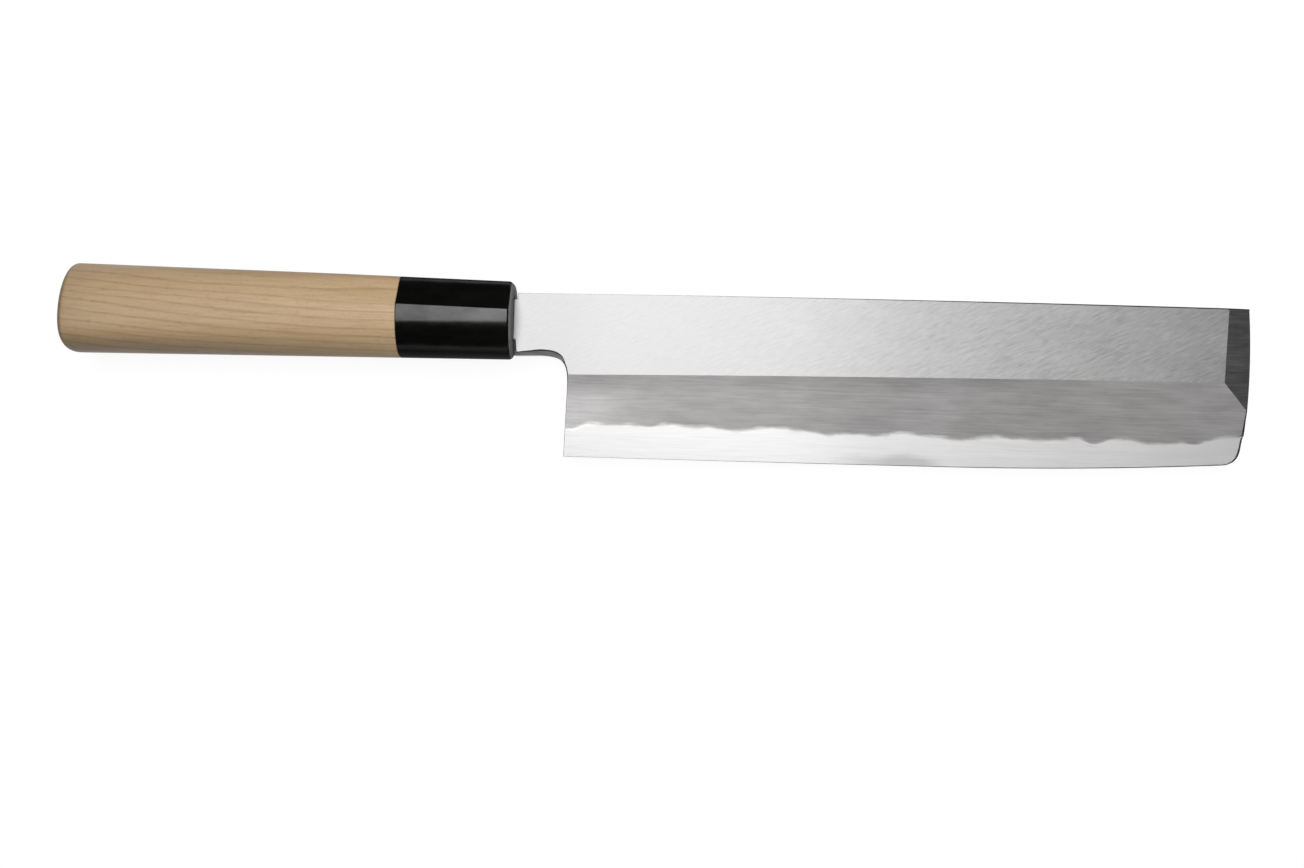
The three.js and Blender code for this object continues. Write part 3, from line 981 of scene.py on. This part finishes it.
def bevel_steel(place, lines, above_weld):
    """Colour of the hard steel on the bevel, with a duller stretch along the middle of the edge, painted
    light and shade along the blade and painted light towards the tip.
    """
    share = along_blade(place)
    # Painted light and shade: the steel lighter or darker in stretches along the blade
    along = profile(
        share, (0, 0.965), (0.3, 0.995), (0.4, 0.95), (0.46, 0.9), (0.63, 0.92), (0.72, 0.955),
        (0.81, 1.0), (1, 1.0))
    middle = profile(share, (0.38, 0), (0.48, 1), (0.53, 1), (0.56, 0))
    near_edge = remap(above_weld, *DULL_EDGE, smooth=True)
    dulled = remap(product(middle, near_edge), 0, 1, 1, DULL_LEVEL)
    # Painted light: the darkest of the lines lifted towards the tip
    darkest = remap(share, 0.75, 0.95, 0.86, 0.97)
    return tinted(spread(lines, darkest, 1.0), along, dulled)


# Haze of the weld line, by height above it, and how far clouds push it
HAZE = (0.3, 1.9)
HAZE_PUSH = 2.2


def bevel_metal():
    """Bevel with soft grey iron above and bright steel below a hazy wavy line, brushed lengthwise."""
    material, place = start_material("bevel_metal")
    brushing = noise(place, (65, 1750, 1), 3, 0.65, 0.25)
    bands = noise(place, (25, 500, 1), 2, 0.5, 0.3)
    lines = weighted((brushing, 0.75), (bands, 0.25))
    clouds = noise(place, (160, 420, 1), 3)
    above_weld = measure(place, "above_weld")
    haze = weighted((clouds, HAZE_PUSH), (above_weld, 1.0))
    iron_share = remap(haze, *HAZE, smooth=True)
    iron = bevel_iron(place, lines, measure(place, "below_ridge"))
    return finish_material(material, {
        "Metallic": 1.0,
        "Base Color": mix_colour(iron_share, bevel_steel(place, lines, above_weld), iron),
        "Roughness": spread(lines, 0.45, 0.51),
        "Normal": bumped(brushing, 0.1, 0.00003),
    })


def lined_metal(name, scale, tones, roughness, strength, distance):
    """Metal whose colour, roughness and relief follow one pattern of lines."""
    material, place = start_material(name)
    lines = noise(place, scale, 3, 0.6)
    return finish_material(material, {
        "Metallic": 1.0,
        "Base Color": mix_colour(spread(lines), *tones),
        "Roughness": spread(lines, *roughness),
        "Normal": bumped(lines, strength, distance),
    })


def ground_metal():
    """Ground faces: the tip facet and the sides of spine and heel."""
    return lined_metal(
        "ground_metal", scale=(100, 1600, 600), tones=(grey(0.35), grey(0.49)), roughness=(0.3, 0.36),
        strength=0.1, distance=0.00003)


def filed_iron():
    """Filed chamfer under the neck and round to the heel, dull with coarse lengthwise lines."""
    return lined_metal(
        "filed_iron", scale=(150, 1500, 600), tones=(grey(0.41), grey(0.6)), roughness=(0.5, 0.6),
        strength=0.15, distance=0.00004)


def stoned_edge_painted_shade():
    """Narrow stoned edges of tip, spine and cutting edge, painted near black as shade, darker than the
    faces.
    """
    material, place = start_material("stoned_edge_painted_shade")
    grain = noise(place, (400, 400, 400), 2)
    return finish_material(material, {
        "Metallic": 1.0,
        # Painted shade: a metal colour near black stands in for the dark that the eased edges show
        "Base Color": mix_colour(grain, grey(0.05), grey(0.1)),
        "Roughness": spread(grain, 0.4, 0.5),
    })


def back_steel():
    """Back of the blade: hollow-ground steel with fine lengthwise lines."""
    material, place = start_material("back_steel")
    brushing = noise(place, (16, 2200, 1), 3)
    clouds = noise(place, (20, 50, 1), 2)
    tone = weighted((brushing, 0.6), (clouds, 0.4))
    return finish_material(material, {
        "Metallic": 1.0,
        "Base Color": mix_colour(remap(tone, 0.35, 0.65), grey(0.52), grey(0.6)),
        "Roughness": spread(brushing, 0.32, 0.42),
        "Normal": bumped(brushing, 0.12, 0.00003),
    })


# Shine at the ferrule's rear and front, the share that its sides keep, which paints shade on them, and how
# much rougher they are
HORN_SHINE = (0.48, 0.71)
HORN_SIDE_SHINE = 0.1
HORN_SIDE_ROUGHNESS = 0.42


def black_horn():
    """Polished black horn, duller on its sides than along its crest, their reflection turned down as painted
    shade, and a little smudged.
    """
    material, place = start_material("black_horn")
    smudges = noise(place, (130, 300, 300), 3, 0.6)
    streaks = noise(place, (60, 700, 700), 3)
    crest = remap(facing(place, "Z"), 0.6, 0.85, smooth=True)
    along = along_handle(place, HANDLE_LENGTH)
    rear = 1 - FERRULE_LENGTH / HANDLE_LENGTH
    shine = remap(along, rear, 1, *HORN_SHINE)
    smudged = product(shine, remap(smudges, 0.35, 0.65, 0.78, 1.15))
    # Painted shade: the sides keep only a share of the shine, by which way they face
    kept = remap(crest, 0, 1, HORN_SIDE_SHINE, 1)
    matte = remap(crest, 0, 1, HORN_SIDE_ROUGHNESS, 0.0)
    return finish_material(material, {
        "Base Color": mix_colour(
            remap(streaks, 0.45, 0.75), (0.0008, 0.0009, 0.0006, 1), (0.0024, 0.0024, 0.0019, 1)),
        "Roughness": calculate("ADD", matte, spread(smudges, 0.12, 0.18)),
        "Specular IOR Level": product(smudged, kept),
        "Normal": bumped(streaks, 0.05, 0.00005),
    })


def sanded_horn():
    """Cut and sanded horn at the ferrule's front, dull and greyer than the polished sides, with painted
    light where it faces forward and painted shade where it turns away.
    """
    material, place = start_material("sanded_horn")
    grain = noise(place, (1500, 900, 900), 3)
    base = mix_colour(spread(grain), (0.18, 0.18, 0.175, 1), (0.26, 0.26, 0.253, 1))
    # Painted light and shade: lighter where the face looks forward, darker elsewhere
    front = remap(facing(place, "X"), 0.4, 1, 0.75, 1.6)
    return finish_material(material, {
        "Base Color": tinted(base, front),
        "Roughness": spread(grain, 0.6, 0.75),
        "Specular IOR Level": 0.15,
        "Normal": bumped(grain, 0.1, 0.00005),
    })


# Growth layers of the wood, how far they fall at two heights, and where a layer's dark line comes and goes
GROWTH_TILT = (0.0, 0.9, 0.45)
GROWTH_SPACING = 2.3
GROWTH_FALL = (6.0, 1.8)
GROWTH_FALL_HEIGHTS = (2.0, 11.0)
GROWTH_WANDER = 1.6
LINE_COMES = (0.62, 0.9)
LINE_GOES = (1.0, 0.92)
BUTT_SHADE = 12.0


def growth_lines(place):
    """Thin dark lines of the growth layers, which fall from the butt, less so along the upper edge."""
    wander = noise(place, (12, 90, 90), 2)
    layers = add_node("VectorMath", {0: place, 1: GROWTH_TILT}, operation="DOT_PRODUCT")
    left = calculate("SUBTRACT", 1.0, along_handle(place, WOOD_LENGTH))
    low, high = (AXIS_POINT[1] + level * MM for level in GROWTH_FALL_HEIGHTS)
    slope = remap(part_of(place, "Y"), low, high, *GROWTH_FALL)
    fall = product(product(left, left), slope)
    height = weighted(
        (layers.outputs["Value"], 1 / (GROWTH_SPACING * MM)), (fall, -1 / GROWTH_SPACING),
        (wander, GROWTH_WANDER))
    ring = add_node("Math", {0: height}, operation="FRACT").outputs[0]
    started = remap(ring, *LINE_COMES, smooth=True)
    lasting = remap(ring, *LINE_GOES, smooth=True)
    return product(started, lasting)


def wood_shading(place):
    """Shade on the wood: on its lower and upper sides, round its butt and a little towards the butt."""
    share = along_handle(place, WOOD_LENGTH)
    lowest = remap(share, 0, 1, 0.53, 0.8)
    lower = remap(facing(place, "Y"), -0.1, -0.95, 1, lowest, smooth=True)
    towards_butt = remap(facing(place, "X"), 0, -1)
    end = profile(towards_butt, (0.1, 1), (0.5, 0.4), (0.8, 0.5), (1, 0.8))
    along = remap(share, 0, 1, 0.85, 1.07)
    upper = remap(facing(place, "Y"), 0.25, 0.9, 1, 0.91, smooth=True)
    near_butt = remap(along_handle(place, BUTT_SHADE), 0, 1, 0.9, 1, smooth=True)
    return lower, upper, end, along, near_butt


def bare_wood():
    """Pale sanded wood with thin growth lines along the handle and fine dotted pores."""
    material, place = start_material("bare_wood")
    lines = growth_lines(place)
    fibres = noise(place, (90, 1500, 1500), 3, 0.6)
    dark_fibres = remap(fibres, 0.4, 0.75)
    pores = remap(noise(place, (700, 1500, 1500), 2), 0.55, 0.75)
    clouds = noise(place, (22, 90, 90), 2)
    dark = weighted((lines, 0.32), (dark_fibres, 0.28), (pores, 0.25), (clouds, 0.12))
    base = mix_colour(dark, (0.755, 0.54, 0.318, 1), (0.41, 0.248, 0.126, 1))
    return finish_material(material, {
        "Base Color": tinted(base, *wood_shading(place)),
        "Roughness": spread(fibres, 0.42, 0.52),
        "Specular IOR Level": 0.4,
        "Normal": bumped(fibres, 0.2, 0.00008),
    })


def pine_resin():
    """Hard amber-brown resin that beds the tang."""
    material, place = start_material("pine_resin")
    clouds = noise(place, (300, 300, 300), 3)
    return finish_material(material, {
        "Base Color": mix_colour(clouds, (0.07, 0.025, 0.006, 1), (0.14, 0.06, 0.015, 1)),
        "Roughness": spread(clouds, 0.35, 0.55),
    })


# Pieces

def add_plate_piece(name, mesh_parts, materials, pick_material):
    vertices, faces, normals, zones = mesh_parts
    piece = add_piece(name, vertices, faces, materials)
    mesh = piece.data
    middles = np.array([vertices[face].mean(axis=0) for face in faces])
    mesh.polygons.foreach_set("material_index", pick_material(middles, zones).astype(np.int32))
    mesh.normals_split_custom_set(normals)
    add_blade_measures(mesh, vertices)
    return piece


def make_blade_iron(flat, bevel, ground, filed, stoned):
    outline, widths, flatness = iron_outline()
    ridge_end = TIP_X - 2 * TIP_FACET_RIDGE
    on_flat = rows_of_points(FLAT_FILL, ridge_end, ridge_y, spine_y)
    on_iron = rows_of_points(BEVEL_FILL, ridge_end, weld_y, ridge_y)
    inner = np.concatenate((on_flat, on_iron))
    top_lines = [ridge_line(), facet_line(), facet_bevel_line()]
    parts = plate_mesh(
        outline, widths, flatness, face_z, iron_under_z, top_lines, steel_start_lines(), inner, inner)
    materials = (flat, bevel, ground, filed, stoned)
    flat_at, bevel_at, ground_at, filed_at, stoned_at = range(len(materials))

    def pick(middles, zones):
        x, y, _ = middles.T
        on_facet = facet_z(x, y) < np.minimum(front_z(x), bevel_z(x, y))
        on_bevel = bevel_z(x, y) < front_z(x)
        on_choil = (x < CHOIL_X + FILED_MARGIN) & (y < 0) & (y > -NECK_DEPTH_REAR - FILED_END)
        face = np.where(on_facet, ground_at, np.where(on_bevel, bevel_at, flat_at))
        edge = np.where(on_choil, filed_at, stoned_at)
        inner_edge = np.where(on_choil, ground_at, stoned_at)
        picked = (zones == TOP_ZONE, zones == EDGE_ZONE, zones == INNER_EDGE_ZONE)
        return np.select(picked, (face, edge, inner_edge), ground_at)

    piece = add_plate_piece("blade_iron_body", parts, materials, pick)
    stand_for(piece, "blade_iron")


def make_edge_steel(bevel, stoned, back, ground):
    outline, widths, flatness = steel_outline()
    band = rows_of_points(BEVEL_FILL, TIP_X - STEEL_TIP_MARGIN, edge_y, weld_y)
    hollow = rows_of_points(HOLLOW_FILL, TIP_X - STEEL_TIP_MARGIN, edge_y, spine_y)
    parts = plate_mesh(
        outline, widths, flatness, steel_face_z, hollow_back_z, [], [hollow_rim_line()], band, hollow)

    def pick(_, zones):
        """Materials are in the order of the zones, with one for both edge zones."""
        return np.where(zones == INNER_EDGE_ZONE, EDGE_ZONE, zones)

    piece = add_plate_piece("edge_steel_layer", parts, (bevel, stoned, back, ground), pick)
    stand_for(piece, "edge_steel")


def tenon_reach(extra):
    half_height = max(TANG_TOP_FRONT, TANG_BOTTOM_FRONT) + BORE_CLEARANCE + TENON_EDGE_WALL + extra
    half_thick = BLADE_THICK_HEEL / 2 + BORE_CLEARANCE + TENON_SIDE_WALL + extra
    return half_height, half_thick


def make_ferrule(polished, sanded, step=1.5, polished_end_steps=3):
    sides = stretch(-FERRULE_LENGTH + SEAM_CHAMFER, -FERRULE_FRONT_ROUND, step)[:-1]
    rings = [handle_ring(-FERRULE_LENGTH, SEAM_CHAMFER)]
    rings.extend(handle_ring(x) for x in sides)
    first_sanded = len(rings) + polished_end_steps
    rings.extend(rounded_end(0, FERRULE_FRONT_ROUND, 1))
    rings.extend((
        slot_ring(0, SLOT_CLEARANCE + SLOT_CHAMFER),
        slot_ring(-SLOT_CHAMFER, SLOT_CLEARANCE),
        slot_ring(-FERRULE_FRONT_WALL, SLOT_CLEARANCE),
        oval_ring(-FERRULE_FRONT_WALL, *tenon_reach(GLUE_GAP)),
        oval_ring(-FERRULE_LENGTH, *tenon_reach(GLUE_GAP)),
    ))
    piece = add_piece("horn_ferrule", *loft(rings, True), (polished, sanded))
    is_sanded = (np.arange(len(rings)) >= first_sanded).astype(np.int32)
    piece.data.polygons.foreach_set("material_index", np.repeat(is_sanded, RING_POINTS))
    piece.data.set_sharp_from_angle(angle=SHARP_ANGLE)
    stand_for(piece, "ferrule")


def make_handle(wood, step=2.5):
    seam_x = -FERRULE_LENGTH - GLUE_GAP
    tenon_end = -FERRULE_FRONT_WALL - GLUE_GAP
    sides = stretch(-HANDLE_LENGTH + BUTT_ROUND, seam_x - SEAM_CHAMFER, step)[1:]
    rings = rounded_end(-HANDLE_LENGTH, BUTT_ROUND, -1)[::-1]
    rings.extend(handle_ring(x) for x in sides)
    rings.extend((
        handle_ring(seam_x, SEAM_CHAMFER),
        oval_ring(seam_x, *tenon_reach(0)),
        oval_ring(tenon_end, *tenon_reach(0)),
        slot_ring(tenon_end, BORE_CLEARANCE),
        slot_ring(-TANG_LENGTH - BORE_RELIEF, BORE_CLEARANCE),
    ))
    piece = add_piece("wooden_handle", *loft(rings, False), (wood,))
    piece.data.set_sharp_from_angle(angle=SHARP_ANGLE)
    stand_for(piece, "handle_wood")


def dress_tang_bed(resin):
    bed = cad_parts["tang_bed"]
    bed.material_slots[0].link = "OBJECT"
    bed.material_slots[0].material = resin


# Floor, light and camera

FLOOR_HALF = 3.0
FLOOR_GLOW = 0.91
FLOOR_COLOUR = (0.15, 0.15, 0.15, 1)


def floor_material():
    """Pale floor that the camera and reflections see as white, with the object's shadow kept."""
    material = bpy.data.materials.new("pale_floor")
    material.use_nodes = True
    tree = material.node_tree
    tree.nodes.remove(tree.nodes["Principled BSDF"])
    rays = add_node("LightPath", {}, tree).outputs
    seen = calculate("MAXIMUM", rays["Is Camera Ray"], rays["Is Glossy Ray"])
    seen = calculate("MAXIMUM", seen, rays["Is Transmission Ray"])
    glow = add_node("Emission", {"Strength": product(seen, FLOOR_GLOW)})
    matte = add_node("BsdfDiffuse", {"Color": FLOOR_COLOUR}, tree)
    both = add_node("AddShader", {0: matte.outputs[0], 1: glow.outputs[0]})
    set_inputs(tree.nodes["Material Output"], {"Surface": both.outputs[0]})
    return material


def make_floor():
    mesh = bpy.data.meshes.new("floor")
    signs = ((-1, -1), (1, -1), (1, 1), (-1, 1))
    mesh.from_pydata([(x * FLOOR_HALF, y * FLOOR_HALF, 0) for x, y in signs], [], [(0, 1, 2, 3)])
    mesh.materials.append(floor_material())
    floor = add_object("floor", mesh)


# Softbox straight above, as angles from the vertical seen from the ferrule's front
SOFTBOX_HEIGHT = 2.0
SOFTBOX_LEFT = math.radians(-26)
SOFTBOX_RIGHT = math.radians(19)
SOFTBOX_NEAR = math.radians(-14)
SOFTBOX_FAR = math.radians(34)
SOFTBOX_RADIANCE = 3.5
SKY_ZENITH = 0.05
SKY_HORIZON = 1.0
SKY_HORIZON_TOP = math.sin(math.radians(7))
SKY_HORIZON_FULL = math.sin(math.radians(3))


def make_softbox():
    left, right, near, far = (
        SOFTBOX_HEIGHT * math.tan(angle)
        for angle in (SOFTBOX_LEFT, SOFTBOX_RIGHT, SOFTBOX_NEAR, SOFTBOX_FAR)
    )
    data = bpy.data.lights.new("softbox", "AREA")
    data.shape = "RECTANGLE"
    data.size = right - left
    data.size_y = far - near
    data.energy = SOFTBOX_RADIANCE * math.pi * data.size * data.size_y
    lamp = add_object("softbox", data)
    lamp.location = (AXIS_POINT[0] + (left + right) / 2, AXIS_POINT[1] + (near + far) / 2, SOFTBOX_HEIGHT)


def make_world():
    world = bpy.data.worlds.new("studio")
    world.use_nodes = True
    tree = world.node_tree
    direction = add_node("TexCoord", {}, tree).outputs["Generated"]
    up = part_of(direction, "Z")
    level = remap(up, SKY_HORIZON_FULL, SKY_HORIZON_TOP, SKY_HORIZON, SKY_ZENITH, smooth=True)
    set_inputs(tree.nodes["Background"], {"Strength": level, "Color": grey(1)})
    bpy.context.scene.world = world


def make_camera():
    right = (PHOTO_WIDTH / 2 - FERRULE_PIXEL[0]) * PIXEL_SIZE
    down = (PHOTO_HEIGHT / 2 - FERRULE_PIXEL[1]) * PIXEL_SIZE
    turn_x = math.cos(CAMERA_ROLL)
    turn_y = math.sin(CAMERA_ROLL)
    offset = (right * turn_x + down * turn_y, right * turn_y - down * turn_x, CAMERA_HEIGHT)
    data = bpy.data.cameras.new("camera")
    data.sensor_fit = "HORIZONTAL"
    data.sensor_width = SENSOR_WIDTH
    data.lens = CAMERA_HEIGHT / PIXEL_SIZE * SENSOR_WIDTH / PHOTO_WIDTH
    data.clip_start = NEAREST_SEEN
    camera = add_object("camera", data)
    camera.location = AXIS_POINT + np.array(offset) * MM
    camera.rotation_euler = (0, 0, CAMERA_ROLL)
    bpy.context.scene.camera = camera


make_camera()
make_floor()
make_softbox()
make_world()
bevel = bevel_metal()
ground = ground_metal()
stoned = stoned_edge_painted_shade()
make_blade_iron(flat_iron(), bevel, ground, filed_iron(), stoned)
make_edge_steel(bevel, stoned, back_steel(), ground)
make_ferrule(black_horn(), sanded_horn())
make_handle(bare_wood())
dress_tang_bed(pine_resin())
bpy.context.scene.view_settings.view_transform = "Standard"
